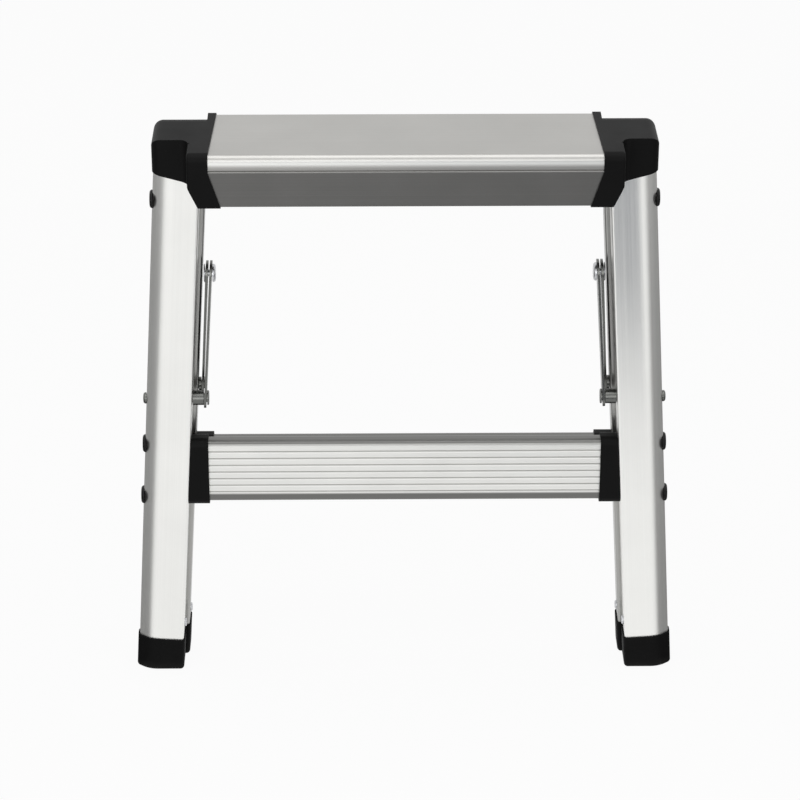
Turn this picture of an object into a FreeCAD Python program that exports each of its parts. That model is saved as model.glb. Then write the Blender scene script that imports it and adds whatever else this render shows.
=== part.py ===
import FreeCAD, Part
import math
import os

# Folding two-sided step ladder, standing folded: a platform on two moulded end brackets,
# a front and a rear frame of splayed legs hung on hinge rivets, and an elbowed stay on each side.
# X runs across the ladder, -Y faces the climber, Z is up, and the feet stand on Z = 0.

os.makedirs("parts", exist_ok=True)
doc = FreeCAD.newDocument("folding_step_ladder")
V = FreeCAD.Vector

# Driving sizes, in millimetres and degrees
SIZES = {
    "platform_top": 520.0,
    "platform_depth": 100.0,
    "platform_wall": 2.4,
    "nose_radius": 5.0,
    "nose_drop": 15.0,
    "skirt_height": 47.0,
    "skirt_undercut": 5.5,
    "skirt_lip": 9.0,
    "skirt_knee_radius": 6.0,
    "skirt_edge_radius": 1.0,
    "bead_rise": 1.4,
    "bead_width": 1.8,
    "bead_depth": 0.8,
    "rib_offset": 20.0,
    "rib_depth": 7.0,
    "rib_wall": 2.0,
    "collar_wall": 1.6,
    "collar_front_cover": 1.8,
    "collar_rear_cover": 5.5,
    "collar_low_cover": 11.5,
    "bracket_end_wall": 1.6,
    "bracket_reach": 14.0,
    "bracket_edge_radius": 2.0,
    "bracket_bevel_width": 9.0,
    "bracket_bevel_height": 20.0,
    "hood_brow": 14.0,
    "hood_wall": 2.0,
    "hood_head_room": 5.0,
    "hood_cover": 5.5,
    "hood_lip_fall": 13.5,
    "hood_web_radius": 7.0,
    "hood_corner_radius": 8.0,
    "hood_back_radius": 26.0,
    "hood_room": 0.5,
    "hood_side_room": 0.8,
    "leg_trim_drop": 3.0,
    "cheek_thickness": 6.0,
    "cheek_radius": 8.5,
    "hinge_boss_radius": 8.0,
    "hinge_boss_gap": 0.8,
    "hinge_drop": 15.0,
    "hinge_half_span": 194.0,
    "hinge_pin_radius": 4.0,
    "bush_radius": 5.0,
    "bush_setback": 0.6,
    "cap_radius": 8.0,
    "cap_height": 2.8,
    "cap_sink": 0.6,
    "cap_gap": 0.3,
    "peen_radius": 6.5,
    "peen_height": 1.5,
    "dome_ratio": 0.8,
    "peen_ratio": 0.6,
    "leg_width": 40.0,
    "leg_depth": 24.0,
    "leg_wall": 1.8,
    "leg_flat": 30.0,
    "leg_edge_flat": 8.0,
    "leg_flank_radius": 22.0,
    "leg_edge_radius": 3.0,
    "leg_corner_radius": 2.2,
    "leg_rise": 39.0,
    "leg_pitch": 27.4,
    "legs_mid_depth": 23.6,
    "rear_inset": 4.0,
    "splay": 3.5,
    "opening_angle": 20.0,
    "mitre_gap": 0.6,
    "top_room": 0.8,
    "foot_height": 32.0,
    "foot_wall": 1.4,
    "foot_sole": 7.0,
    "foot_plug_height": 52.0,
    "foot_edge_radius": 3.5,
    "foot_rivet_height": 43.0,
    "foot_rivet_radius": 2.0,
    "foot_rivet_head_radius": 4.0,
    "foot_rivet_head_height": 1.6,
    "foot_rivet_depth": 8.0,
    "rung_middle": 200.0,
    "rear_rung_drop": 11.5,
    "rung_height": 60.0,
    "rung_depth": 14.0,
    "rung_bow": 1.0,
    "rung_corner_radius": 5.0,
    "rung_cell_radius": 1.5,
    "rung_wall": 2.2,
    "rung_web": 2.0,
    "rung_setback": 6.0,
    "groove_count": 7.0,
    "groove_pitch": 6.6,
    "groove_width": 2.4,
    "groove_depth": 0.9,
    "rung_collar_wall": 2.4,
    "rung_collar_length": 17.0,
    "rung_rivet_spacing": 51.0,
    "rung_rivet_radius": 3.0,
    "rung_rivet_depth": 4.0,
    "stay_above_rung": 70.0,
    "stay_length": 114.0,
    "stay_thickness": 2.0,
    "stay_gap": 1.4,
    "stay_leg_room": 3.0,
    "stay_eye_radius": 9.0,
    "stay_elbow_radius": 11.0,
    "stay_face_gap": 0.2,
    "stay_rivet_radius": 4.0,
    "stay_rivet_head_radius": 5.0,
    "stay_rivet_head_height": 2.5,
    "stay_rivet_gap": 0.4,
    "stay_spacer_radius": 6.5,
    "elbow_pin_radius": 3.0,
    "elbow_play": 2.9,
    "elbow_head_radius": 8.0,
    "elbow_head_height": 2.5,
    "elbow_collar_height": 0.7,
    "fit_gap": 0.1,
    "press_gap": 0.02,
    "running_gap": 0.05,
    "cut_margin": 1.0,
}

sheet = doc.addObject("Spreadsheet::Sheet", "Sizes")
for row, (alias, value) in enumerate(SIZES.items(), start=1):
    sheet.set(f"A{row}", alias)
    sheet.set(f"B{row}", str(value))
    sheet.setAlias(f"B{row}", alias)
doc.recompute()


def size(alias):
    return float(sheet.get(alias))


# Outlines: lists of (a, b, corner radius), counter-clockwise
def rounded(corners):
    """Lines and arcs of a closed outline with rounded corners."""
    turns = []
    for i, (a, b, radius) in enumerate(corners):
        here = V(a, b, 0)
        before = (V(*corners[i - 1][:2], 0) - here).normalize()
        after = (V(*corners[(i + 1) % len(corners)][:2], 0) - here).normalize()
        half = before.getAngle(after) / 2
        if radius <= 0:
            turns.append((here, None, here))
            continue
        towards = (before + after).normalize()
        reach = radius / math.tan(half)
        middle = here + towards * (radius / math.sin(half) - radius)
        turns.append((here + before * reach, middle, here + after * reach))
    edges = []
    for i, (start, middle, end) in enumerate(turns):
        if middle is not None:
            edges.append(Part.Arc(start, middle, end))
        following = turns[(i + 1) % len(turns)][0]
        if (following - end).Length > 1e-6:
            edges.append(Part.LineSegment(end, following))
    return edges


def inset(corners, distance):
    """The outline moved inwards by a distance, or outwards by a negative one."""
    moved = []
    for i, (a, b, radius) in enumerate(corners):
        here = V(a, b, 0)
        into = (here - V(*corners[i - 1][:2], 0)).normalize()
        away = (V(*corners[(i + 1) % len(corners)][:2], 0) - here).normalize()
        normal_in = V(-into.y, into.x, 0)
        normal_out = V(-away.y, away.x, 0)
        shift = (normal_in + normal_out) * (distance / (1 + normal_in.dot(normal_out)))
        moved.append((a + shift.x, b + shift.y, max(radius - distance, 0)))
    return moved


def circle(a, b, radius):
    return [Part.Circle(V(a, b, 0), V(0, 0, 1), radius)]


def belt(a, b, radius, far_a, far_b, far_radius):
    """Outline of two round eyes joined by straight tangents."""
    start = V(a, b, 0)
    end = V(far_a, far_b, 0)
    along = (end - start).normalize()
    across = V(-along.y, along.x, 0)
    lean = math.asin((radius - far_radius) / (end - start).Length)
    left = along * math.sin(lean) + across * math.cos(lean)
    right = along * math.sin(lean) - across * math.cos(lean)
    return [
        Part.LineSegment(start + right * radius, end + right * far_radius),
        Part.Arc(end + right * far_radius, end + along * far_radius, end + left * far_radius),
        Part.LineSegment(end + left * far_radius, start + left * radius),
        Part.Arc(start + left * radius, start - along * radius, start + right * radius),
    ]


# Sketches and features
def new_body(name):
    return doc.addObject("PartDesign::Body", name)


def draw(body, role, outlines, offset=0.0):
    """A sketch of closed outlines on one of the body's own origin planes."""
    plane = next(item for item in body.Origin.OriginFeatures if item.Role == role)
    sketch = body.newObject("Sketcher::SketchObject", body.Name + "_sketch")
    sketch.AttachmentSupport = [(plane, "")]
    sketch.MapMode = "FlatFace"
    sketch.AttachmentOffset = FreeCAD.Placement(V(0, 0, offset), FreeCAD.Rotation())
    for outline in outlines:
        for edge in outline:
            sketch.addGeometry(edge, False)
    return sketch


def pad(body, sketch, length, side_type="One side"):
    feature = body.newObject("PartDesign::Pad", body.Name + "_pad")
    feature.Profile = sketch
    feature.SideType = side_type
    feature.setExpression("Length", length)
    doc.recompute()
    return feature


def pocket(body, sketch, length=None):
    """A cut right through both ways, or to a length along the sketch's normal."""
    doc.recompute()
    volume = body.Shape.Volume
    feature = body.newObject("PartDesign::Pocket", body.Name + "_pocket")
    feature.Profile = sketch
    if length is None:
        feature.Type = "ThroughAll"
        feature.SideType = "Symmetric"
    else:
        feature.Reversed = True
        feature.setExpression("Length", length)
    doc.recompute()
    if feature.Shape.Volume > volume - 1e-3:
        raise ValueError(body.Name + ": a pocket cuts nothing")
    return feature


def edges_where(feature, wanted):
    """Names of a feature's edges whose box passes a test."""
    edges = enumerate(feature.Shape.Edges, start=1)
    return [f"Edge{index}" for index, edge in edges if wanted(edge.BoundBox)]


def rounded_over(body, feature, names, radius):
    fillet = body.newObject("PartDesign::Fillet", body.Name + "_fillet")
    fillet.Base = (feature, names)
    fillet.setExpression("Radius", radius)
    doc.recompute()
    return body


def bar(name, radius, length, x, y, z):
    """A round bar along X from a starting point, with its sizes given as expressions."""
    item = doc.addObject("Part::Cylinder", name)
    item.setExpression("Radius", radius)
    item.setExpression("Height", length)
    item.Placement = FreeCAD.Placement(V(x, y, z), FreeCAD.Rotation(V(0, 1, 0), 90))
    return item


def joined(kind, name, items):
    item = doc.addObject(kind, name)
    if kind == "Part::Compound":
        item.Links = items
    else:
        item.Shapes = items
    return item


def cut(name, base, tools):
    item = doc.addObject("Part::Cut", name)
    item.Base = base
    item.Tool = joined("Part::Compound", name + "_holes", tools)
    return item


def mirrored(name, source):
    """The left-hand twin of a right-hand piece."""
    twin = doc.addObject("Part::Mirroring", name)
    twin.Source = source
    twin.Base = V(0, 0, 0)
    twin.Normal = V(1, 0, 0)
    return twin


def rivet(name, shank, grip, head, dome, tail, peen, x, y, z, turned=False):
    """A rivet along X whose domed head points out, or in when it is turned."""
    half_section = [
        (-grip - peen, 0, 0),
        (dome, 0, 0),
        (dome, head, size("dome_ratio") * dome),
        (0, head, 0),
        (0, shank, 0),
        (-grip, shank, 0),
    ]
    if peen > 0:
        half_section += [(-grip, tail, 0), (-grip - peen, tail, size("peen_ratio") * peen)]
    else:
        half_section[0] = (-grip, 0, 0)
    body = new_body(name)
    sketch = draw(body, "XY_Plane", [rounded(half_section)])
    turn = body.newObject("PartDesign::Revolution", name + "_turn")
    turn.Profile = sketch
    turn.ReferenceAxis = (sketch, ["H_Axis"])
    turn.Angle = 360
    facing = FreeCAD.Rotation(V(0, 0, 1), 180 if turned else 0)
    body.Placement = FreeCAD.Placement(V(x, y, z), facing)
    return body


nodes = []


def keep(*items):
    nodes.extend(items)


def keep_pair(right, stem):
    keep(right, mirrored(stem + "_left", right))


# Where the legs run: straight, splayed outwards towards the feet
splay_tan = math.tan(math.radians(size("splay")))
splay_cos = math.cos(math.radians(size("splay")))
hinge_height = size("platform_top") - size("skirt_height") - size("hinge_drop")
leg_top = hinge_height + size("leg_rise")
stay_level = size("rung_middle") + size("stay_above_rung")
HINGE_HEIGHT = "(Sizes.platform_top - Sizes.skirt_height - Sizes.hinge_drop)"
FRAMES = {
    "front": {"sign": -1, "inset": 0.0, "inset_text": "0", "rung": size("rung_middle")},
    "rear": {
        "sign": 1,
        "inset": size("rear_inset"),
        "inset_text": "Sizes.rear_inset",
        "rung": size("rung_middle") - size("rear_rung_drop"),
    },
}


def leg_inner(frame, level):
    middle = size("hinge_half_span") - FRAMES[frame]["inset"]
    return middle - size("leg_width") / 2 / splay_cos + (hinge_height - level) * splay_tan


def leg_outer(frame, level):
    return leg_inner(frame, level) + size("leg_width") / splay_cos


def leg_depth_middle(frame):
    return size("legs_mid_depth") + FRAMES[frame]["sign"] * size("leg_pitch") / 2


def leg_place(frame):
    middle = size("hinge_half_span") - FRAMES[frame]["inset"]
    where = V(middle, leg_depth_middle(frame), hinge_height)
    return FreeCAD.Placement(where, FreeCAD.Rotation(V(0, 1, 0), -size("splay")))


def leg_section():
    """Flat face with a gently rounded flank and a narrow outer edge, in the leg's own frame."""
    half_width = size("leg_width") / 2
    half_depth = size("leg_depth") / 2
    knee = size("leg_flat") - half_width
    edge = size("leg_edge_flat") / 2
    corner = size("leg_corner_radius")
    flank = size("leg_flank_radius")
    rim = size("leg_edge_radius")
    return [
        (-half_width, -half_depth, corner),
        (knee, -half_depth, flank),
        (half_width, -edge, rim),
        (half_width, edge, rim),
        (knee, half_depth, flank),
        (-half_width, half_depth, corner),
    ]


# Platform: an extruded channel with a rounded nose front and back and undercut skirts
half_depth = size("platform_depth") / 2
top = size("platform_top")
skirt_low = top - size("skirt_height")
skirt_knee = top - size("nose_drop")
skirt_foot = half_depth - size("skirt_undercut")


def platform_hull():
    return [
        (-skirt_foot, skirt_low, size("skirt_edge_radius")),
        (skirt_foot, skirt_low, size("skirt_edge_radius")),
        (half_depth, skirt_knee, size("skirt_knee_radius")),
        (half_depth, top, size("nose_radius")),
        (-half_depth, top, size("nose_radius")),
        (-half_depth, skirt_knee, size("skirt_knee_radius")),
    ]


def platform_section():
    wall = size("platform_wall")
    lip = size("skirt_lip")
    bead = skirt_knee + size("bead_rise")
    bead_half = size("bead_width") / 2
    ceiling = top - wall
    rib_low = ceiling - size("rib_depth")
    rib_half = size("rib_wall") / 2
    ribs = []
    for middle in (-size("rib_offset"), size("rib_offset")):
        ribs += [
            (middle - rib_half, ceiling, 0),
            (middle - rib_half, rib_low, 0),
            (middle + rib_half, rib_low, 0),
            (middle + rib_half, ceiling, 0),
        ]
    inside = [
        (-skirt_foot, skirt_low, 0),
        (-skirt_foot + lip, skirt_low, 0),
        (-skirt_foot + lip, skirt_low + wall, 0),
        (-skirt_foot + wall, skirt_low + wall, 0),
        (-half_depth + wall, skirt_knee, size("skirt_knee_radius") - wall),
        (-half_depth + wall, ceiling, size("nose_radius") - wall),
        *ribs,
        (half_depth - wall, ceiling, size("nose_radius") - wall),
        (half_depth - wall, skirt_knee, size("skirt_knee_radius") - wall),
        (skirt_foot - wall, skirt_low + wall, 0),
        (skirt_foot - lip, skirt_low + wall, 0),
        (skirt_foot - lip, skirt_low, 0),
        (skirt_foot, skirt_low, 0),
    ]
    outside = [
        (half_depth, skirt_knee, 0),
        (half_depth, bead - bead_half, 0),
        (half_depth - size("bead_depth"), bead, 0),
        (half_depth, bead + bead_half, 0),
        (half_depth, top, size("nose_radius")),
        (-half_depth, top, size("nose_radius")),
        (-half_depth, bead + bead_half, 0),
        (-half_depth + size("bead_depth"), bead, 0),
        (-half_depth, bead - bead_half, 0),
        (-half_depth, skirt_knee, 0),
    ]
    return inside + outside


# The bracket's end wall stands just inside the rear legs' tops
end_wall_outer = leg_inner("rear", leg_top) - size("top_room")
platform_end = end_wall_outer - size("bracket_end_wall") - size("fit_gap")
REAR_TOP_INNER = (
    "(Sizes.hinge_half_span - Sizes.rear_inset - Sizes.leg_width / 2 / cos(Sizes.splay * 1 deg)"
    " - Sizes.leg_rise * tan(Sizes.splay * 1 deg))"
)
PLATFORM_END = REAR_TOP_INNER + " - Sizes.top_room - Sizes.bracket_end_wall - Sizes.fit_gap"

plate = new_body("platform_plate")
plate_sketch = draw(plate, "YZ_Plane", [rounded(platform_section())])
pad(plate, plate_sketch, f"2 * ({PLATFORM_END})", "Symmetric")
keep(plate)


# End brackets: a collar over the platform's end, a hood over both leg tops and a hinge cheek
margin = size("cut_margin")
bracket_top = top + size("collar_wall")
bracket_low = skirt_low - size("collar_wall")
hood_front = leg_depth_middle("front") - size("leg_depth") / 2 - size("hood_room") - size("hood_brow")
hood_back = leg_depth_middle("rear") + size("leg_depth") / 2 + size("hood_room") + size("hood_wall")
hood_lip = leg_top - size("hood_cover")
hood_low = hood_lip - size("hood_lip_fall")
hood_outer = leg_outer("front", hood_lip)


def bracket_block():
    """The collar and the solid nose that stands in front of the legs."""
    start = platform_end - size("collar_low_cover")
    front_edge = platform_end - size("collar_front_cover")
    rear_edge = platform_end - size("collar_rear_cover")
    end = end_wall_outer + size("bracket_reach")
    side = half_depth + 2 * size("collar_wall")
    body = new_body("bracket_block")
    outline = rounded(inset(platform_hull(), -size("collar_wall")))
    seat = "Sizes.collar_low_cover + Sizes.fit_gap"
    length = seat + " + Sizes.bracket_end_wall + Sizes.bracket_reach"
    pad(body, draw(body, "YZ_Plane", [outline], start), length)
    socket = rounded(inset(platform_hull(), -size("fit_gap")))
    pocket(body, draw(body, "YZ_Plane", [socket], start), seat)
    for edge, from_depth in ((front_edge, 0.0), (rear_edge, -side)):
        flare = [
            (start, bracket_low, 0),
            (edge, skirt_knee, 0),
            (start - margin, skirt_knee, 0),
            (start - margin, bracket_low, 0),
        ]
        pocket(body, draw(body, "XZ_Plane", [rounded(flare)], from_depth), f"{side}")
    mouth = [
        (start - margin, -side, 0),
        (front_edge, -side, 0),
        (rear_edge, side, 0),
        (start - margin, side, 0),
    ]
    pocket(body, draw(body, "XY_Plane", [rounded(mouth)], skirt_knee), "Sizes.skirt_height")
    bevel = [
        (end - size("bracket_bevel_width"), bracket_low - margin, 0),
        (end + margin, bracket_low - margin, 0),
        (end + margin, bracket_low + size("bracket_bevel_height"), 0),
        (end, bracket_low + size("bracket_bevel_height"), 0),
    ]
    last = pocket(body, draw(body, "XZ_Plane", [rounded(bevel)]))
    rim = edges_where(last, lambda box: box.XMin > end - 1e-3)
    return rounded_over(body, last, rim, "Sizes.bracket_edge_radius")


def bracket_hood():
    """A flat-topped cap, open below for the tops of both legs, with a web into the nose."""
    inner = end_wall_outer
    wall = size("hood_wall")
    nose = inner + size("bracket_reach")
    web = hood_front - size("hood_web_radius")
    side = [
        (web, hood_low, 0),
        (hood_back, hood_low, 0),
        (hood_back, bracket_top, size("hood_back_radius")),
        (web, bracket_top, 0),
    ]
    notch = [
        (nose, web - margin, 0),
        (nose, hood_front, size("hood_web_radius")),
        (hood_outer + margin, hood_front, 0),
        (hood_outer + margin, web - margin, 0),
    ]
    room = [
        (inner, hood_front + size("hood_brow"), 0),
        (hood_outer - wall, hood_front + size("hood_brow"), 0),
        (hood_outer - wall, hood_back - wall, size("hood_corner_radius") - wall),
        (inner, hood_back - wall, 0),
    ]
    skew = [
        (inner - wall, hood_low - margin, 0),
        (hood_outer + margin, hood_low - margin, 0),
        (hood_outer + margin, hood_lip, 0),
        (inner - wall, hood_low, 0),
    ]
    body = new_body("bracket_hood")
    pad(body, draw(body, "YZ_Plane", [rounded(side)], inner - wall / 2), f"{hood_outer - inner + wall / 2}")
    cap = pocket(body, draw(body, "XY_Plane", [rounded(notch)]))
    rim = edges_where(cap, lambda box: box.XMin > hood_outer - 1e-3 and box.ZMax > hood_low + margin)
    rounded_over(body, cap, rim, "Sizes.hood_corner_radius")
    head_room = "Sizes.hood_lip_fall + Sizes.hood_cover + Sizes.hood_head_room"
    pocket(body, draw(body, "XY_Plane", [rounded(room)], hood_low), head_room)
    pocket(body, draw(body, "XZ_Plane", [rounded(skew)]))
    return body


def bracket_cheek():
    """The web below the collar that carries both hinge rivets."""
    boss = size("cheek_radius")
    low = hinge_height - boss
    high = skirt_low - size("fit_gap")
    front = leg_depth_middle("front") - boss
    back = leg_depth_middle("rear") + boss
    corner = boss - size("fit_gap")
    outline = [(front, low, corner), (back, low, corner), (back, high, 0), (front, high, 0)]
    body = new_body("bracket_cheek")
    sketch = draw(body, "YZ_Plane", [rounded(outline)], end_wall_outer - size("cheek_thickness"))
    pad(body, sketch, "Sizes.cheek_thickness")
    return body


def bracket():
    bay = doc.addObject("Part::Box", "bracket_leg_bay")
    bay.setExpression("Length", "2 * Sizes.bracket_reach")
    bay.setExpression("Width", "2 * Sizes.platform_depth")
    bay.setExpression("Height", "2 * Sizes.skirt_height")
    bay.Placement.Base = V(end_wall_outer, hood_front, skirt_low - size("skirt_height") / 2)
    block = cut("bracket_nose", bracket_block(), [bay])
    pieces = [block, bracket_hood(), bracket_cheek()]
    holes = []
    for frame in FRAMES:
        y = leg_depth_middle(frame)
        z = hinge_height
        inner = end_wall_outer - size("cheek_thickness")
        reach = leg_inner(frame, z) - size("hinge_boss_gap") - inner
        boss = bar(f"bracket_{frame}_boss", "Sizes.hinge_boss_radius", f"{reach}", inner, y, z)
        hole = "Sizes.hinge_pin_radius + Sizes.press_gap"
        pieces.append(boss)
        holes.append(bar(f"bracket_{frame}_hole", hole, f"{reach + 2 * margin}", inner - margin, y, z))
    whole = joined("Part::MultiFuse", "bracket_solid", pieces)
    return cut("bracket_right", whole, holes)


keep_pair(bracket(), "bracket")


def rung_rivet_levels(frame):
    half = size("rung_rivet_spacing") / 2
    return [FRAMES[frame]["rung"] - half, FRAMES[frame]["rung"] + half]


# Legs: hollow extrusions, mitred at the top so that the two frames meet when they are open
def leg(frame):
    turn = math.radians(size("opening_angle"))
    facing = -FRAMES[frame]["sign"]
    room = size("leg_pitch") / 2 - size("mitre_gap")
    side = size("leg_depth") / 2 + margin
    above = size("leg_rise") / splay_cos + margin
    mitre = [
        (facing * side, (room - side * math.cos(turn)) / math.sin(turn), 0),
        (facing * side, above, 0),
        (facing * (room - above * math.sin(turn)) / math.cos(turn), above, 0),
    ]
    body = new_body(f"{frame}_leg_tube")
    outlines = [rounded(leg_section()), rounded(inset(leg_section(), size("leg_wall")))]
    low = (size("foot_sole") - hinge_height) / splay_cos
    length = f"({HINGE_HEIGHT} + Sizes.leg_rise - Sizes.foot_sole) / cos(Sizes.splay * 1 deg)"
    pad(body, draw(body, "XY_Plane", outlines, low), length)
    pocket(body, draw(body, "YZ_Plane", [rounded(mitre)]))
    body.Placement = leg_place(frame)
    y = leg_depth_middle(frame)
    across = "2 * Sizes.leg_width"
    start = leg_inner(frame, hinge_height) - size("leg_width") / 4
    radius = "Sizes.stay_rivet_radius + Sizes.press_gap"
    holes = [bar(f"{frame}_stay_hole", radius, across, start, y, stay_level)]
    capped = {hinge_height: "Sizes.bush_radius + Sizes.press_gap"}
    for level in rung_rivet_levels(frame):
        capped[level] = "Sizes.rung_rivet_radius + Sizes.press_gap"
    for level, radius in capped.items():
        seat = leg_outer(frame, level) - size("cap_sink") - size("cap_gap")
        holes.append(bar(f"{frame}_cap_hole", radius, across, start, y, level))
        holes.append(bar(f"{frame}_cap_seat", "Sizes.cap_radius + Sizes.cap_gap", across, seat, y, level))
    trim = doc.addObject("Part::Box", f"{frame}_leg_trim")
    trim.setExpression("Length", "Sizes.leg_width")
    trim.setExpression("Width", "2 * Sizes.leg_depth")
    trim.setExpression("Height", "Sizes.leg_rise")
    trim_at = hood_outer - size("hood_wall") - size("hood_side_room")
    trim.Placement.Base = V(trim_at, y - size("leg_depth"), hood_lip - size("leg_trim_drop"))
    holes.append(trim)
    level = size("foot_rivet_height")
    start = leg_inner(frame, level) - size("leg_wall")
    radius = "Sizes.foot_rivet_radius + Sizes.press_gap"
    holes.append(bar(f"{frame}_foot_hole", radius, "Sizes.leg_width / 2", start, y, level))
    return cut(f"{frame}_leg_right", body, holes)


# Feet: moulded cups with a plug up inside the leg and a sole cut level with the floor
def foot(frame):
    section = leg_section()
    body = new_body(f"{frame}_foot_cup")
    floor = -hinge_height / splay_cos
    below = floor - size("leg_width") * splay_tan
    sole = floor + size("foot_sole") / splay_cos
    cup = draw(body, "XY_Plane", [rounded(inset(section, -size("foot_wall")))], below)
    slant = "Sizes.leg_width * tan(Sizes.splay * 1 deg)"
    pad(body, cup, f"Sizes.foot_height / cos(Sizes.splay * 1 deg) + {slant}")
    socket = draw(body, "XY_Plane", [rounded(inset(section, -size("press_gap")))], sole)
    pocket(body, socket, "Sizes.foot_height")
    plug = draw(body, "XY_Plane", [rounded(inset(section, size("leg_wall") + size("fit_gap")))], sole - margin)
    plug_length = "(Sizes.foot_plug_height - Sizes.foot_sole) / cos(Sizes.splay * 1 deg) + Sizes.cut_margin"
    pad(body, plug, plug_length)
    reach = size("leg_width")
    level = [
        (-reach, floor + reach * splay_tan, 0),
        (-reach, floor - reach, 0),
        (reach, floor - reach, 0),
        (reach, floor - reach * splay_tan, 0),
    ]
    last = pocket(body, draw(body, "XZ_Plane", [rounded(level)]))
    sole_face = min(last.Shape.Faces, key=lambda face: face.CenterOfMass.z)
    rim = []
    for index, edge in enumerate(last.Shape.Edges, start=1):
        if any(edge.isSame(other) for other in sole_face.Edges):
            rim.append(f"Edge{index}")
    rounded_over(body, last, rim, "Sizes.foot_edge_radius")
    body.Placement = leg_place(frame)
    height = size("foot_rivet_height")
    start = leg_inner(frame, height) - margin
    hole = bar(
        f"{frame}_foot_bore",
        "Sizes.foot_rivet_radius + Sizes.press_gap",
        "Sizes.foot_rivet_depth + 2 * Sizes.cut_margin",
        start,
        leg_depth_middle(frame),
        height,
    )
    return cut(f"{frame}_foot_right", body, [hole])


# Rungs: hollow ribbed extrusions held in moulded collars on the legs' inner faces
def rung_outer(frame):
    """The rung's plain outline, about its own middle, ribbed face outwards."""
    sign = FRAMES[frame]["sign"]
    face = size("rung_depth") / 2 + size("rung_bow")
    low_side = min(sign * face, -sign * size("rung_depth") / 2)
    high_side = max(sign * face, -sign * size("rung_depth") / 2)
    y = leg_depth_middle(frame)
    z = FRAMES[frame]["rung"]
    half = size("rung_height") / 2
    radius = size("rung_corner_radius")
    return [
        (y + low_side, z - half, radius),
        (y + high_side, z - half, radius),
        (y + high_side, z + half, radius),
        (y + low_side, z + half, radius),
    ]


def rung_section(frame):
    """The outline with a gently bowed face and shallow grooves along it."""
    sign = FRAMES[frame]["sign"]
    y = leg_depth_middle(frame)
    z = FRAMES[frame]["rung"]
    half = size("rung_height") / 2
    back = size("rung_depth") / 2
    count = int(size("groove_count"))
    radius = size("rung_corner_radius")

    def face(height):
        return back + size("rung_bow") * (1 - (height / half) ** 2)

    ribbed = []
    for i in range(count):
        middle = (i - (count - 1) / 2) * size("groove_pitch")
        below = middle - size("groove_width") / 2
        above = middle + size("groove_width") / 2
        ribbed += [(face(below), below, 0), (face(middle) - size("groove_depth"), middle, 0)]
        ribbed += [(face(above), above, 0)]
    corners = [(-back, -half, radius), (back, -half, radius), *ribbed]
    corners += [(back, half, radius), (-back, half, radius)]
    return [(y + sign * a, z + b, r) for a, b, r in corners]


def rung_cells(frame):
    """Two hollow cells with a web between them."""
    wall = size("rung_wall")
    y = leg_depth_middle(frame)
    z = FRAMES[frame]["rung"]
    side = size("rung_depth") / 2 - wall
    low = size("rung_web") / 2
    high = size("rung_height") / 2 - wall
    cells = []
    for bottom, ceiling in ((-high, -low), (low, high)):
        cells.append([
            (y - side, z + bottom, size("rung_cell_radius")),
            (y + side, z + bottom, size("rung_cell_radius")),
            (y + side, z + ceiling, size("rung_cell_radius")),
            (y - side, z + ceiling, size("rung_cell_radius")),
        ])
    return cells


def inner_text(frame, level):
    """The leg's inner face at a level, as an expression."""
    return (
        f"(Sizes.hinge_half_span - {FRAMES[frame]['inset_text']}"
        f" - Sizes.leg_width / 2 / cos(Sizes.splay * 1 deg)"
        f" + ({HINGE_HEIGHT} - {level}) * tan(Sizes.splay * 1 deg))"
    )


def rung(frame):
    body = new_body(f"{frame}_rung")
    outlines = [rounded(rung_section(frame))]
    outlines += [rounded(cell) for cell in rung_cells(frame)]
    level = {"front": "Sizes.rung_middle", "rear": "(Sizes.rung_middle - Sizes.rear_rung_drop)"}
    length = f"2 * ({inner_text(frame, level[frame])} - Sizes.rung_setback)"
    pad(body, draw(body, "YZ_Plane", outlines), length, "Symmetric")
    return body


def rung_collar(frame):
    body = new_body(f"{frame}_collar_block")
    level = FRAMES[frame]["rung"]
    start = leg_inner(frame, level) - size("rung_collar_length")
    outline = rounded(inset(rung_outer(frame), -size("rung_collar_wall")))
    half = size("rung_height")
    pad(body, draw(body, "YZ_Plane", [outline], start), "2 * Sizes.rung_collar_length")
    socket = rounded(inset(rung_outer(frame), -size("fit_gap")))
    seat = "Sizes.rung_collar_length - Sizes.rung_setback + Sizes.fit_gap"
    pocket(body, draw(body, "YZ_Plane", [socket], start), seat)
    outside = [
        (leg_inner(frame, level - half), level - half, 0),
        (leg_outer(frame, level - half), level - half, 0),
        (leg_outer(frame, level - half), level + half, 0),
        (leg_inner(frame, level + half), level + half, 0),
    ]
    pocket(body, draw(body, "XZ_Plane", [rounded(outside)]))
    holes = []
    for z in rung_rivet_levels(frame):
        inside = leg_inner(frame, z) - size("rung_rivet_depth")
        radius = "Sizes.rung_rivet_radius + Sizes.press_gap"
        length = "2 * Sizes.rung_rivet_depth"
        holes.append(bar(f"{frame}_collar_hole", radius, length, inside, leg_depth_middle(frame), z))
    return cut(f"{frame}_rung_collar_right", body, holes)


# Rivets and bushes of each frame
def hinge_rivet(frame):
    level = hinge_height
    head = leg_outer(frame, level) - size("cap_sink")
    grip = head - (end_wall_outer - size("cheek_thickness"))
    return rivet(
        f"{frame}_hinge_rivet",
        size("hinge_pin_radius"), grip,
        size("cap_radius"), size("cap_height"),
        size("peen_radius"), size("peen_height"),
        head, leg_depth_middle(frame), level,
    )


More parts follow.
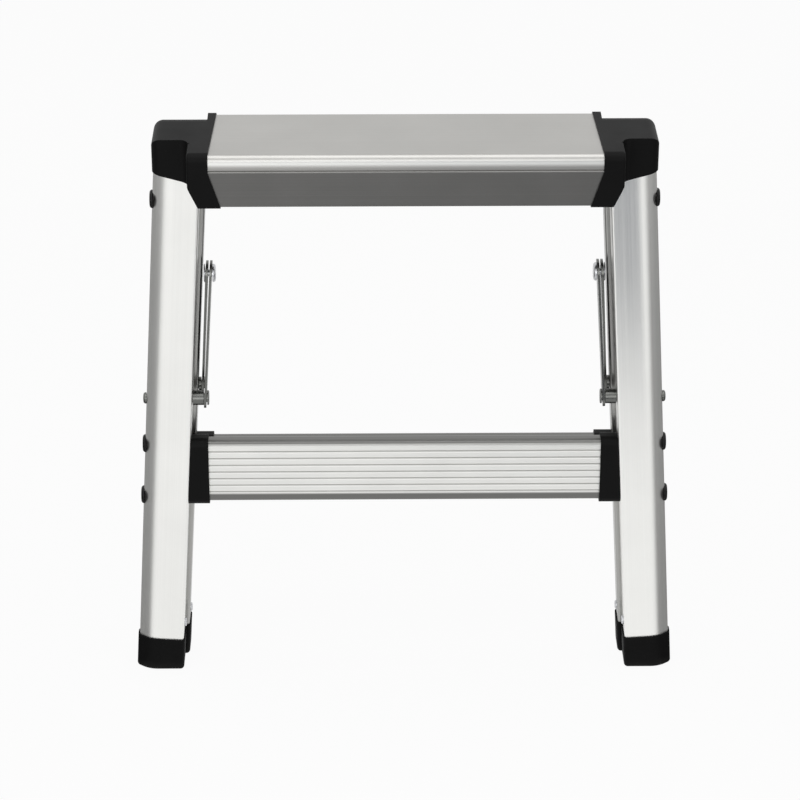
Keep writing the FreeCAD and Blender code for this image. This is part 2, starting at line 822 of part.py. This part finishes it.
def hinge_bush(frame):
    level = hinge_height
    start = leg_inner(frame, level) + size("bush_setback")
    y = leg_depth_middle(frame)
    length = "Sizes.leg_width / cos(Sizes.splay * 1 deg) - 2 * Sizes.bush_setback - Sizes.cap_sink - Sizes.cap_gap"
    sleeve = bar(f"{frame}_bush_sleeve", "Sizes.bush_radius", length, start, y, level)
    bore = "Sizes.hinge_pin_radius + Sizes.running_gap"
    hole = bar(f"{frame}_bush_bore", bore, "2 * Sizes.leg_width", start - margin, y, level)
    return cut(f"{frame}_hinge_bush", sleeve, [hole])


def rung_rivet(frame, level):
    head = leg_outer(frame, level) - size("cap_sink")
    grip = head - leg_inner(frame, level) + size("rung_rivet_depth") - size("fit_gap")
    return rivet(
        f"{frame}_rung_rivet",
        size("rung_rivet_radius"), grip,
        size("cap_radius"), size("cap_height"),
        0, 0,
        head, leg_depth_middle(frame), level,
    )


def foot_rivet(frame):
    level = size("foot_rivet_height")
    head = leg_inner(frame, level) - size("foot_rivet_head_radius") * splay_tan
    return rivet(
        f"{frame}_foot_rivet",
        size("foot_rivet_radius"), size("foot_rivet_depth"),
        size("foot_rivet_head_radius"), size("foot_rivet_head_height"),
        0, 0,
        head, leg_depth_middle(frame), level, turned=True,
    )


# Stays: on each side two flat links, one on each leg, meeting at an elbow between the frames.
# The links lie parallel to the legs' inner faces, and their pivots run straight across the ladder.
elbow_rise = math.sqrt(size("stay_length") ** 2 - (size("leg_pitch") / 2) ** 2)
elbow_level = stay_level + elbow_rise
link_half = size("stay_thickness") / 2
link_step = size("stay_thickness") + size("stay_gap")
rear_link = leg_inner("rear", stay_level) - size("stay_leg_room") - link_half
LINK_MIDDLES = {"front": rear_link - link_step, "rear": rear_link}


def face_gap(radius):
    """Room that a flat round end needs against the leaning links."""
    return size("stay_face_gap") + radius * splay_tan


def stay_link(frame):
    y = leg_depth_middle(frame)
    reach = size("legs_mid_depth") - y
    rise = elbow_rise / splay_cos
    body = new_body(f"{frame}_stay_plate")
    outline = belt(0, 0, size("stay_eye_radius"), reach, rise, size("stay_elbow_radius"))
    pad(body, draw(body, "YZ_Plane", [outline]), "Sizes.stay_thickness", "Symmetric")
    lean = FreeCAD.Rotation(V(0, 1, 0), -size("splay"))
    body.Placement = FreeCAD.Placement(V(LINK_MIDDLES[frame], y, stay_level), lean)
    elbow_hole = {
        "front": "Sizes.elbow_pin_radius + Sizes.press_gap",
        "rear": "Sizes.elbow_pin_radius + Sizes.elbow_play",
    }
    across = "Sizes.leg_width"
    start = LINK_MIDDLES[frame] - size("leg_width") / 2
    eye_hole = "Sizes.stay_rivet_radius + Sizes.running_gap"
    return cut(f"{frame}_stay_link_right", body, [
        bar(f"{frame}_eye_hole", eye_hole, across, start, y, stay_level),
        bar(f"{frame}_elbow_hole", elbow_hole[frame], across, start, size("legs_mid_depth"), elbow_level),
    ])


def stay_rivet(frame):
    head = leg_outer(frame, stay_level) + size("stay_rivet_gap")
    grip = head - LINK_MIDDLES[frame] + link_half + face_gap(size("peen_radius"))
    return rivet(
        f"{frame}_stay_rivet",
        size("stay_rivet_radius"), grip,
        size("stay_rivet_head_radius"), size("stay_rivet_head_height"),
        size("peen_radius"), size("peen_height"),
        head, leg_depth_middle(frame), stay_level,
    )


def stay_spacer(frame):
    y = leg_depth_middle(frame)
    radius = size("stay_spacer_radius")
    start = LINK_MIDDLES[frame] + link_half + face_gap(radius)
    length = leg_inner(frame, stay_level) - radius * splay_tan - start
    sleeve = bar(f"{frame}_spacer_sleeve", "Sizes.stay_spacer_radius", f"{length}", start, y, stay_level)
    bore = "Sizes.stay_rivet_radius + Sizes.press_gap"
    hole = bar(f"{frame}_spacer_bore", bore, f"{length + 2 * margin}", start - margin, y, stay_level)
    return cut(f"{frame}_stay_spacer", sleeve, [hole])


def elbow_pin():
    """The pin fixed in the front link, with a collar beyond the rear link."""
    gap = face_gap(size("elbow_head_radius"))
    middle = LINK_MIDDLES["front"] - elbow_rise * splay_tan
    grip = size("stay_thickness") + link_step + 2 * gap
    return rivet(
        "stay_elbow_pin_right",
        size("elbow_pin_radius"), grip,
        size("elbow_head_radius"), size("elbow_head_height"),
        size("elbow_head_radius"), size("elbow_collar_height"),
        middle - link_half - gap, size("legs_mid_depth"), elbow_level, turned=True,
    )


for frame in FRAMES:
    keep_pair(leg(frame), f"{frame}_leg")
    keep_pair(foot(frame), f"{frame}_foot")
    keep(rung(frame))
    keep_pair(rung_collar(frame), f"{frame}_rung_collar")
    sets = {
        "hinge_rivets": [hinge_rivet(frame)],
        "hinge_bushes": [hinge_bush(frame)],
        "rung_rivets": [rung_rivet(frame, level) for level in rung_rivet_levels(frame)],
        "foot_rivets": [foot_rivet(frame)],
        "stay_rivets": [stay_rivet(frame)],
        "stay_spacers": [stay_spacer(frame)],
    }
    for kind, items in sets.items():
        twins = [mirrored(item.Name + "_twin", item) for item in items]
        keep(joined("Part::Compound", f"{frame}_{kind}", items + twins))
    keep_pair(stay_link(frame), f"{frame}_stay_link")
keep_pair(elbow_pin(), "stay_elbow_pin")

# Everything has to be whole before anything is written
doc.recompute()
for item in doc.Objects:
    if "Invalid" in item.State or "Error" in item.State:
        raise ValueError(item.Label + " failed to build")
for item in nodes:
    if item.Shape.isNull() or not item.Shape.isValid():
        raise ValueError(item.Label + " has no valid shape")
for item in nodes:
    item.Shape.exportStep(f"parts/{item.Label}.step")
    print(f"{item.Label}: {len(item.Shape.Solids)} solids, {item.Shape.Volume / 1000:.2f} cm3")
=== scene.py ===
import math

import bmesh
import bpy
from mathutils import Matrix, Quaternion, Vector


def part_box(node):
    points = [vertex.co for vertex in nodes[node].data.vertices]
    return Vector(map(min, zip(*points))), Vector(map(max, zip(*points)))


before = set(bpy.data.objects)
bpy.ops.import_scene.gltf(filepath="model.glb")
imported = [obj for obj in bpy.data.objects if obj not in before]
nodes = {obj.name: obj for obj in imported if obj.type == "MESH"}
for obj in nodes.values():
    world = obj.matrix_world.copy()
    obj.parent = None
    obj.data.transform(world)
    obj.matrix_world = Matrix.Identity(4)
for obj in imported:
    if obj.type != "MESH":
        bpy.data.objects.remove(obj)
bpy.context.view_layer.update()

# Legs: four hollow aluminium extrusions, cut to length and satin anodised.
# The die leaves faint straight lines down the whole length and the oxide film is
# slightly cloudy; the rear legs get darker tints, painted shade from standing behind the front legs.
SIDES = ("left", "right")
FRAMES = ("front", "rear")
# A Mix node's colour sockets go by number, because its other kinds share their names.
FACTOR, FIRST, SECOND, BLEND = 0, 6, 7, 2


def linear(code):
    """An sRGB hex colour as linear light."""
    channels = [int(code[i:i + 2], 16) / 255 for i in (1, 3, 5)]
    light = [c / 12.92 if c <= 0.04045 else ((c + 0.055) / 1.055) ** 2.4 for c in channels]
    return (*light, 1.0)


def add_node(tree, kind, inputs, **settings):
    """Adds a node, or fills one that is there; inputs are values or sockets to link from."""
    node = tree.nodes.new(kind) if isinstance(kind, str) else kind
    for name, value in settings.items():
        setattr(node, name, value)
    for name, value in inputs.items():
        if isinstance(value, bpy.types.NodeSocket):
            tree.links.new(value, node.inputs[name])
        else:
            node.inputs[name].default_value = value
    return node


def start_material(name):
    """A new surface: the material, its tree, its shader and the piece's own coordinates in metres."""
    material = bpy.data.materials.new(name)
    material.use_nodes = True
    tree = material.node_tree
    place = add_node(tree, "ShaderNodeTexCoord", {}).outputs["Object"]
    return material, tree, tree.nodes["Principled BSDF"], place


def draw_lines(tree, along, stretch, place, patch, detail):
    """Lines drawn out along a bar, and the streaks that they make with a patchy film."""
    drawn = add_node(tree, "ShaderNodeMapping", {"Vector": along, "Scale": stretch})
    lines = add_node(tree, "ShaderNodeTexNoise", {
        "Vector": drawn.outputs["Vector"],
        "Scale": 1.0,
        "Detail": 3.0,
    })
    film = add_node(tree, "ShaderNodeTexNoise", {"Vector": place, "Scale": 1 / patch, "Detail": detail})
    both = add_node(tree, "ShaderNodeMath", {
        0: lines.outputs["Fac"],
        1: film.outputs["Fac"],
    }, operation="ADD")
    streaks = add_node(tree, "ShaderNodeMapRange", {
        "Value": both.outputs["Value"],
        "From Min": streak_span[0],
        "From Max": streak_span[1],
    })
    return lines.outputs["Fac"], streaks.outputs["Result"]


def dress(tree, shader, inputs, gloss, haze, height, strength):
    """Fills a shader: the inputs, a roughness that follows gloss over haze, and a relief."""
    rough = add_node(tree, "ShaderNodeMapRange", {"Value": gloss, "To Min": haze[0], "To Max": haze[1]})
    relief = add_node(tree, "ShaderNodeBump", {
        "Height": height,
        "Strength": strength,
        "Distance": relief_depth,
    })
    add_node(tree, shader, {
        **inputs,
        "Roughness": rough.outputs["Result"],
        "Normal": relief.outputs["Normal"],
    })


def finish_with(material, *names):
    """Puts one finish on the named CAD nodes."""
    for name in names:
        mesh = nodes[name].data
        mesh.materials.clear()
        mesh.materials.append(material)


# Real die lines lie about 0.1 mm apart, too fine to show: they are drawn ten times as coarse.
leg_line = 0.0011
line_length = 2 / 3
cloud_width = 0.045
cloud_detail = 4.0
streak_span = (0.6, 1.4)
relief_depth = 0.0001
splay = math.radians(3.5)
leg_splay = {"left": -splay, "right": splay}
leg_stretch = (1 / leg_line, 1 / leg_line, 1 / line_length)
# The rear tints are painted shade: darker because the rear legs stand in the front legs' shade.
leg_and_rear_shade_tints = {"front": ("#efefec", "#f6f6f3"), "rear": ("#a2a2a0", "#adadaa")}
leg_haze = (0.26, 0.38)
leg_relief = 0.25
for name in FRAMES:
    for side in SIDES:
        satin, tree, shader, place = start_material(f"satin_anodised_{name}_leg_{side}")
        upright = add_node(tree, "ShaderNodeMapping", {
            "Vector": place,
            "Rotation": (0, leg_splay[side], 0),
        })
        lines, streaks = draw_lines(
            tree, upright.outputs["Vector"], leg_stretch, place, cloud_width, cloud_detail)
        tint = add_node(tree, "ShaderNodeMix", {
            FACTOR: streaks,
            FIRST: linear(leg_and_rear_shade_tints[name][0]),
            SECOND: linear(leg_and_rear_shade_tints[name][1]),
        }, data_type="RGBA")
        metal = {"Base Color": tint.outputs[BLEND], "Metallic": 1.0}
        dress(tree, shader, metal, lines, leg_haze, lines, leg_relief)
        finish_with(satin, f"{name}_leg_{side}")

# Feet: thermoplastic rubber cups pushed over the ends of the legs.
# The mould is spark-eroded, so the skin has a fine even grain, drawn coarser than
# the real one so that it shows; the soles are scuffed paler where they meet the floor.
foot_grain = 0.0007
foot_scuff = 0.006
sole_height = 0.009
sole_wear = 0.55
rubber_haze = (0.55, 0.75)
rubber_relief = 0.3
rubber, tree, shader, place = start_material("moulded_black_rubber")
grain = add_node(tree, "ShaderNodeTexNoise", {"Vector": place, "Scale": 1 / foot_grain, "Detail": 2.0})
scuffs = add_node(tree, "ShaderNodeTexNoise", {"Vector": place, "Scale": 1 / foot_scuff, "Detail": 6.0})
axes = add_node(tree, "ShaderNodeSeparateXYZ", {"Vector": place})
sole = add_node(tree, "ShaderNodeMapRange", {
    "Value": axes.outputs["Z"],
    "From Min": 0.0,
    "From Max": sole_height,
    "To Min": sole_wear,
    "To Max": 0.0,
})
worn = add_node(tree, "ShaderNodeMath", {
    0: sole.outputs["Result"],
    1: scuffs.outputs["Fac"],
}, operation="MULTIPLY")
tint = add_node(tree, "ShaderNodeMix", {
    FACTOR: worn.outputs["Value"],
    FIRST: linear("#080808"),
    SECOND: linear("#353432"),
}, data_type="RGBA")
skin = {"Base Color": tint.outputs[BLEND], "Specular IOR Level": 0.1}
dress(tree, shader, skin, scuffs.outputs["Fac"], rubber_haze, grain.outputs["Fac"], rubber_relief)
finish_with(rubber, *(f"{name}_foot_{side}" for name in FRAMES for side in SIDES))

# Rungs: two-cell aluminium extrusions with seven shallow grooves along the tread face.
# They come from the same alloy as the legs, with die lines along X, as coarse as theirs;
# the grooves are darkened with painted shade, and the rounded top and bottom edges are
# tinted darker, painted shade where the platform shades the top and where the bottom faces down.
rung_line = 0.0009
rung_stretch = (1 / line_length, 1 / rung_line, 1 / rung_line)
rung_boxes = {name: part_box(name + "_rung") for name in FRAMES}
rung_levels = {name: (low.z + high.z) / 2 for name, (low, high) in rung_boxes.items()}
groove_pitch = 0.0066
groove_half = 0.0012
# The darker grooves are painted shade in the recesses.
groove_shade_strength = 0.75
# Above and below these levels the rounded edges take a darker tint, painted shade.
edge_shade_top = 0.0265
edge_shade_bottom = -0.0215
edge_shade_fade = 0.001
rung_haze = (0.30, 0.42)
rung_relief = 0.3
for name in FRAMES:
    rung_metal, tree, shader, place = start_material("satin_anodised_rung_" + name)
    lines, streaks = draw_lines(tree, place, rung_stretch, place, cloud_width, cloud_detail)
    clean = add_node(tree, "ShaderNodeMix", {
        FACTOR: streaks,
        FIRST: linear("#e4e4e1"),
        SECOND: linear("#eeeeeb"),
    }, data_type="RGBA")
    axes = add_node(tree, "ShaderNodeSeparateXYZ", {"Vector": place})
    rise = add_node(tree, "ShaderNodeMath", {
        0: axes.outputs["Z"],
        1: rung_levels[name],
    }, operation="SUBTRACT")
    off_groove = add_node(tree, "ShaderNodeMath", {
        0: rise.outputs["Value"],
        1: groove_pitch / 2,
    }, operation="PINGPONG")
    groove_shade = add_node(tree, "ShaderNodeMapRange", {
        "Value": off_groove.outputs["Value"],
        "From Min": 0.0,
        "From Max": groove_half,
        "To Min": groove_shade_strength,
        "To Max": 0.0,
    })
    # Painted shade: the grooves are mixed towards a darker grey.
    groove_shaded = add_node(tree, "ShaderNodeMix", {
        FACTOR: groove_shade.outputs["Result"],
        FIRST: clean.outputs[BLEND],
        SECOND: linear("#8f8f8c"),
    }, data_type="RGBA")
    over = add_node(tree, "ShaderNodeMapRange", {
        "Value": rise.outputs["Value"],
        "From Min": edge_shade_top - edge_shade_fade,
        "From Max": edge_shade_top + edge_shade_fade,
    })
    under = add_node(tree, "ShaderNodeMapRange", {
        "Value": rise.outputs["Value"],
        "From Min": edge_shade_bottom + edge_shade_fade,
        "From Max": edge_shade_bottom - edge_shade_fade,
    })
    dull = add_node(tree, "ShaderNodeMath", {
        0: over.outputs["Result"],
        1: under.outputs["Result"],
    }, operation="ADD")
    # The darker tint on the top and bottom edges is painted shade.
    tint = add_node(tree, "ShaderNodeMix", {
        FACTOR: dull.outputs["Value"],
        FIRST: groove_shaded.outputs[BLEND],
        SECOND: linear("#757573"),
    }, data_type="RGBA")
    metal = {"Base Color": tint.outputs[BLEND], "Metallic": 1.0}
    dress(tree, shader, metal, lines, rung_haze, lines, rung_relief)
    finish_with(rung_metal, name + "_rung")

# Rung collars and end brackets: black glass-filled nylon mouldings.
# Their skin has a leathery mould grain, drawn coarser than the real one so that it shows,
# and a low sheen, with slightly polished patches where hands and shoes rub.
nylon_grain = 0.0009
rub_width = 0.030
nylon_haze = (0.58, 0.44)
nylon_relief = 0.2
nylon, tree, shader, place = start_material("grained_black_nylon")
cells = add_node(tree, "ShaderNodeTexVoronoi", {"Vector": place, "Scale": 1 / nylon_grain})
rubbed = add_node(tree, "ShaderNodeTexNoise", {"Vector": place, "Scale": 1 / rub_width, "Detail": 4.0})
tint = add_node(tree, "ShaderNodeMix", {
    FACTOR: rubbed.outputs["Fac"],
    FIRST: linear("#080808"),
    SECOND: linear("#0d0d0d"),
}, data_type="RGBA")
skin = {"Base Color": tint.outputs[BLEND], "Specular IOR Level": 0.1}
dress(tree, shader, skin, rubbed.outputs["Fac"], nylon_haze, cells.outputs["Distance"], nylon_relief)
finish_with(nylon, *("bracket_" + side for side in SIDES))
finish_with(nylon, *(f"{name}_rung_collar_{side}" for name in FRAMES for side in SIDES))

# Platform: a wide aluminium channel with a rounded nose and undercut skirts.
# The tread is brushed along X, as coarse as the die lines, and has a few faint rub marks;
# a band on the nose is tinted near white, a painted highlight, and below the bead the skirts
# are tinted a darker grey, painted shade on the faces turned down.
platform_line = 0.0012
platform_stretch = (1 / line_length, 1 / platform_line, 1 / platform_line)
rub_length = 0.055
rub_detail = 5.0
tread_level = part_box("platform_plate")[1].z
# Below these levels the skirts are tinted darker, painted shade on the faces turned down.
skirt_shade_level = tread_level - 0.0155
skirt_shade_end = tread_level - 0.0095
# Between these levels the nose is tinted near white, a painted highlight.
highlight_bottom = tread_level - 0.0085
highlight_top = tread_level - 0.0046
highlight_fade = 0.0012
platform_haze = (0.34, 0.46)
platform_relief = 0.25
deck, tree, shader, place = start_material("satin_anodised_deck")
lines, streaks = draw_lines(tree, place, platform_stretch, place, rub_length, rub_detail)
brushed = add_node(tree, "ShaderNodeMix", {
    FACTOR: streaks,
    FIRST: linear("#aeadaa"),
    SECOND: linear("#b8b7b4"),
}, data_type="RGBA")
# Painted shade: the skirts' darker grey.
skirt_shade = add_node(tree, "ShaderNodeMix", {
    FACTOR: streaks,
    FIRST: linear("#686866"),
    SECOND: linear("#727170"),
}, data_type="RGBA")
axes = add_node(tree, "ShaderNodeSeparateXYZ", {"Vector": place})
above = add_node(tree, "ShaderNodeMapRange", {
    "Value": axes.outputs["Z"],
    "From Min": skirt_shade_level,
    "From Max": skirt_shade_end,
})
channel = add_node(tree, "ShaderNodeMix", {
    FACTOR: above.outputs["Result"],
    FIRST: skirt_shade.outputs[BLEND],
    SECOND: brushed.outputs[BLEND],
}, data_type="RGBA")
over = add_node(tree, "ShaderNodeMapRange", {
    "Value": axes.outputs["Z"],
    "From Min": highlight_bottom - highlight_fade,
    "From Max": highlight_bottom + highlight_fade,
})
under = add_node(tree, "ShaderNodeMapRange", {
    "Value": axes.outputs["Z"],
    "From Min": highlight_top + highlight_fade,
    "From Max": highlight_top - highlight_fade,
})
nose_highlight = add_node(tree, "ShaderNodeMath", {
    0: over.outputs["Result"],
    1: under.outputs["Result"],
}, operation="MULTIPLY")
# The near-white band on the nose is a painted highlight.
tint = add_node(tree, "ShaderNodeMix", {
    FACTOR: nose_highlight.outputs["Value"],
    FIRST: channel.outputs[BLEND],
    SECOND: linear("#efefec"),
}, data_type="RGBA")
metal = {"Base Color": tint.outputs[BLEND], "Metallic": 1.0}
dress(tree, shader, metal, lines, platform_haze, lines, platform_relief)
finish_with(deck, "platform_plate")

# Hinge and rung rivets: steel rivets under black stove enamel.
# The enamel lies in an even film with a slight orange peel.
peel = 0.0016
enamel_haze = (0.30, 0.42)
enamel_relief = 0.15
enamel, tree, shader, place = start_material("black_stove_enamel")
bumps = add_node(tree, "ShaderNodeTexNoise", {"Vector": place, "Scale": 1 / peel, "Detail": 1.0})
tint = add_node(tree, "ShaderNodeMix", {
    FACTOR: bumps.outputs["Fac"],
    FIRST: linear("#0c0c0c"),
    SECOND: linear("#151515"),
}, data_type="RGBA")
film = {"Base Color": tint.outputs[BLEND], "Specular IOR Level": 0.2}
dress(tree, shader, film, bumps.outputs["Fac"], enamel_haze, bumps.outputs["Fac"], enamel_relief)
finish_with(enamel, *(f"{name}_{kind}_rivets" for name in FRAMES for kind in ("hinge", "rung")))

# Stays, their rivets, the elbow pins and the foot rivets: stamped and headed steel, zinc plated.
# The stays, their spacers and rivets are passivated to a dull grey with a faint
# spangle; the elbow pins and foot rivets keep the bright plate and a tight highlight.
spangle = 0.0035
zinc_tints = {"dull": ("#686967", "#6e6f6c"), "bright": ("#bfc0c3", "#c5c6c8")}
zinc_haze = (0.26, 0.30)
zinc = {}
for name, (dark, light) in zinc_tints.items():
    zinc[name], tree, shader, place = start_material(name + "_zinc_plate")
    flakes = add_node(tree, "ShaderNodeTexVoronoi", {"Vector": place, "Scale": 1 / spangle})
    tint = add_node(tree, "ShaderNodeMix", {
        FACTOR: flakes.outputs["Distance"],
        FIRST: linear(dark),
        SECOND: linear(light),
    }, data_type="RGBA")
    rough = add_node(tree, "ShaderNodeMapRange", {
        "Value": flakes.outputs["Distance"],
        "To Min": zinc_haze[0],
        "To Max": zinc_haze[1],
    })
    add_node(tree, shader, {
        "Base Color": tint.outputs[BLEND],
        "Metallic": 1.0,
        "Roughness": rough.outputs["Result"],
    })
finish_with(zinc["dull"], *(f"{name}_stay_link_{side}" for name in FRAMES for side in SIDES))
finish_with(zinc["dull"], *(f"{name}_stay_{kind}" for name in FRAMES for kind in ("rivets", "spacers")))
finish_with(zinc["bright"], *(f"{name}_foot_rivets" for name in FRAMES))
finish_with(zinc["bright"], *("stay_elbow_pin_" + side for side in SIDES))

# Hinge bushes: turned sleeves of natural acetal pressed into the legs.
# Turning leaves faint rings, drawn coarser than real ones so that they
# show, and the plastic is milky and slightly waxy.
ring = 0.0008
acetal_haze = (0.30, 0.45)
acetal, tree, shader, place = start_material("natural_acetal")
turned = add_node(tree, "ShaderNodeMapping", {"Vector": place, "Scale": (1 / ring, 1.0, 1.0)})
rings = add_node(tree, "ShaderNodeTexNoise", {
    "Vector": turned.outputs["Vector"],
    "Scale": 1.0,
    "Detail": 1.0,
})
tint = add_node(tree, "ShaderNodeMix", {
    FACTOR: rings.outputs["Fac"],
    FIRST: linear("#d8d6cb"),
    SECOND: linear("#e3e1d8"),
}, data_type="RGBA")
rough = add_node(tree, "ShaderNodeMapRange", {
    "Value": rings.outputs["Fac"],
    "To Min": acetal_haze[0],
    "To Max": acetal_haze[1],
})
add_node(tree, shader, {
    "Base Color": tint.outputs[BLEND],
    "Roughness": rough.outputs["Result"],
    "IOR": 1.48,
})
finish_with(acetal, *(f"{name}_hinge_bushes" for name in FRAMES))

# Floor: a wide sheet of pale card, faintly mottled, that the ladder stands on.
# It is lifted to white where it is seen, by eye or in metal, and keeps a faint contact shadow.
scene = bpy.context.scene
floor_half = 3.0
floor_mottle = 0.025
floor_lift = 0.94


def seen_rays(tree):
    """One for the rays of the camera, of a mirror and through glass, and nought for the rest."""
    ray = add_node(tree, "ShaderNodeLightPath", {})
    mirrored = add_node(tree, "ShaderNodeMath", {
        0: ray.outputs["Is Glossy Ray"],
        1: ray.outputs["Is Transmission Ray"],
    }, operation="MAXIMUM")
    seen = add_node(tree, "ShaderNodeMath", {
        0: ray.outputs["Is Camera Ray"],
        1: mirrored.outputs["Value"],
    }, operation="MAXIMUM")
    return seen.outputs["Value"]


mesh = bpy.data.meshes.new("floor")
sheet = bmesh.new()
bmesh.ops.create_grid(sheet, size=floor_half)
sheet.to_mesh(mesh)
sheet.free()
floor = bpy.data.objects.new("floor", mesh)
scene.collection.objects.link(floor)
pale, tree, shader, place = start_material("pale_floor")
mottle = add_node(tree, "ShaderNodeTexNoise", {"Vector": place, "Scale": 1 / floor_mottle})
tint = add_node(tree, "ShaderNodeMix", {
    FACTOR: mottle.outputs["Fac"],
    FIRST: linear("#e2e2e2"),
    SECOND: linear("#e6e6e6"),
}, data_type="RGBA")
add_node(tree, shader, {"Base Color": tint.outputs[BLEND], "Roughness": 0.9})
white = add_node(tree, "ShaderNodeEmission", {"Color": (1, 1, 1, 1), "Strength": 1.0})
lift = add_node(tree, "ShaderNodeMath", {0: seen_rays(tree), 1: floor_lift}, operation="MULTIPLY")
blend = add_node(tree, "ShaderNodeMixShader", {
    0: lift.outputs["Value"],
    1: shader.outputs["BSDF"],
    2: white.outputs["Emission"],
})
add_node(tree, tree.nodes["Material Output"], {"Surface": blend.outputs["Shader"]})
mesh.materials.append(pale)

# Flags: felt cards laid flat on the floor, unseen by the camera, each given by its corners.
# Mirrored in bright metal, they let its flanks show against white: the grey ones
# start at the feet, and the dark blue one draws the shade down the right leg.
side_card = ((0.24, -0.01), (1.40, -1.20), (2.90, -1.20), (2.90, 1.10), (0.24, 1.10))
front_card = ((0.04, -2.20), (0.70, -2.20), (0.46, -0.72), (0.04, -0.72))
grey_felt = ("#949494", "#9e9e9e")
blue_felt = ("#1a2a40", "#24364e")
FLAGS = {
    "left": {"corners": [(-x, y) for x, y in side_card], "lift": 0.002, "tints": grey_felt},
    "right": {"corners": side_card, "lift": 0.002, "tints": grey_felt},
    "front_right": {"corners": front_card, "lift": 0.004, "tints": blue_felt},
}
felt_tuft = 0.002
for name, flag in FLAGS.items():
    felt, tree, shader, place = start_material("felt_" + name)
    tufts = add_node(tree, "ShaderNodeTexNoise", {"Vector": place, "Scale": 1 / felt_tuft, "Detail": 3.0})
    tint = add_node(tree, "ShaderNodeMix", {
        FACTOR: tufts.outputs["Fac"],
        FIRST: linear(flag["tints"][0]),
        SECOND: linear(flag["tints"][1]),
    }, data_type="RGBA")
    add_node(tree, shader, {"Base Color": tint.outputs[BLEND], "Roughness": 1.0})
    mesh = bpy.data.meshes.new("flag_" + name)
    card = bmesh.new()
    corners = [card.verts.new((x, y, flag["lift"])) for x, y in flag["corners"]]
    bmesh.ops.contextual_create(card, geom=corners)
    bmesh.ops.recalc_face_normals(card, faces=card.faces)
    card.to_mesh(mesh)
    card.free()
    mesh.materials.append(felt)
    laid = bpy.data.objects.new("flag_" + name, mesh)
    laid.visible_camera = False
    laid.visible_diffuse = False
    laid.visible_shadow = False
    scene.collection.objects.link(laid)

# Surround: a plain white room, dimmer for the light it throws than for what is seen of it.
# It is level with the floor's white, so that no horizon shows in the low views.
thrown_level = 0.45
seen_level = 0.975
world = bpy.data.worlds.new("white_surround")
world.use_nodes = True
scene.world = world
tree = world.node_tree
level = add_node(tree, "ShaderNodeMapRange", {
    "Value": seen_rays(tree),
    "To Min": thrown_level,
    "To Max": seen_level,
})
add_node(tree, tree.nodes["Background"], {"Color": (1, 1, 1, 1), "Strength": level.outputs["Result"]})

# Lamps: a large soft box overhead and a broad one beside the camera.
# The first lights the tread and the tops of the brackets, the second what faces the camera.
LAMPS = {
    "overhead_box": {"at": (0.0, -0.3, 2.2), "to": (0, 0, 0.3), "size": (2.4, 1.6), "watts": 16.0},
    "front_box": {"at": (-0.4, -2.6, 0.9), "to": (0, 0, 0.25), "size": (1.8, 1.2), "watts": 12.0},
}
for name, lamp in LAMPS.items():
    light = bpy.data.lights.new(name, "AREA")
    light.shape = "RECTANGLE"
    light.size, light.size_y = lamp["size"]
    light.energy = lamp["watts"]
    item = bpy.data.objects.new(name, light)
    item.location = lamp["at"]
    item.rotation_mode = "QUATERNION"
    item.rotation_quaternion = (Vector(lamp["to"]) - Vector(lamp["at"])).to_track_quat("-Z", "Y")
    scene.collection.objects.link(item)

# Camera: in front of the ladder and above it, on a long lens.
# Its place, turn and roll are fitted to the edges in the photo.
lens_mm = 135.8
sensor_mm = 36.0
aim = Vector((-0.0039, 0.020, 0.2618))
distance = 2.655
elevation = math.radians(26.35)
turn = math.radians(-0.70)
roll = math.radians(0.06)
look = Vector((
    -math.sin(turn) * math.cos(elevation),
    math.cos(turn) * math.cos(elevation),
    -math.sin(elevation),
))
camera = bpy.data.cameras.new("camera")
camera.lens = lens_mm
camera.sensor_width = sensor_mm
viewer = bpy.data.objects.new("camera", camera)
viewer.location = aim - look * distance
viewer.rotation_mode = "QUATERNION"
viewer.rotation_quaternion = look.to_track_quat("-Z", "Y") @ Quaternion((0, 0, 1), roll)
scene.collection.objects.link(viewer)
scene.camera = viewer
scene.view_settings.view_transform = "Standard"
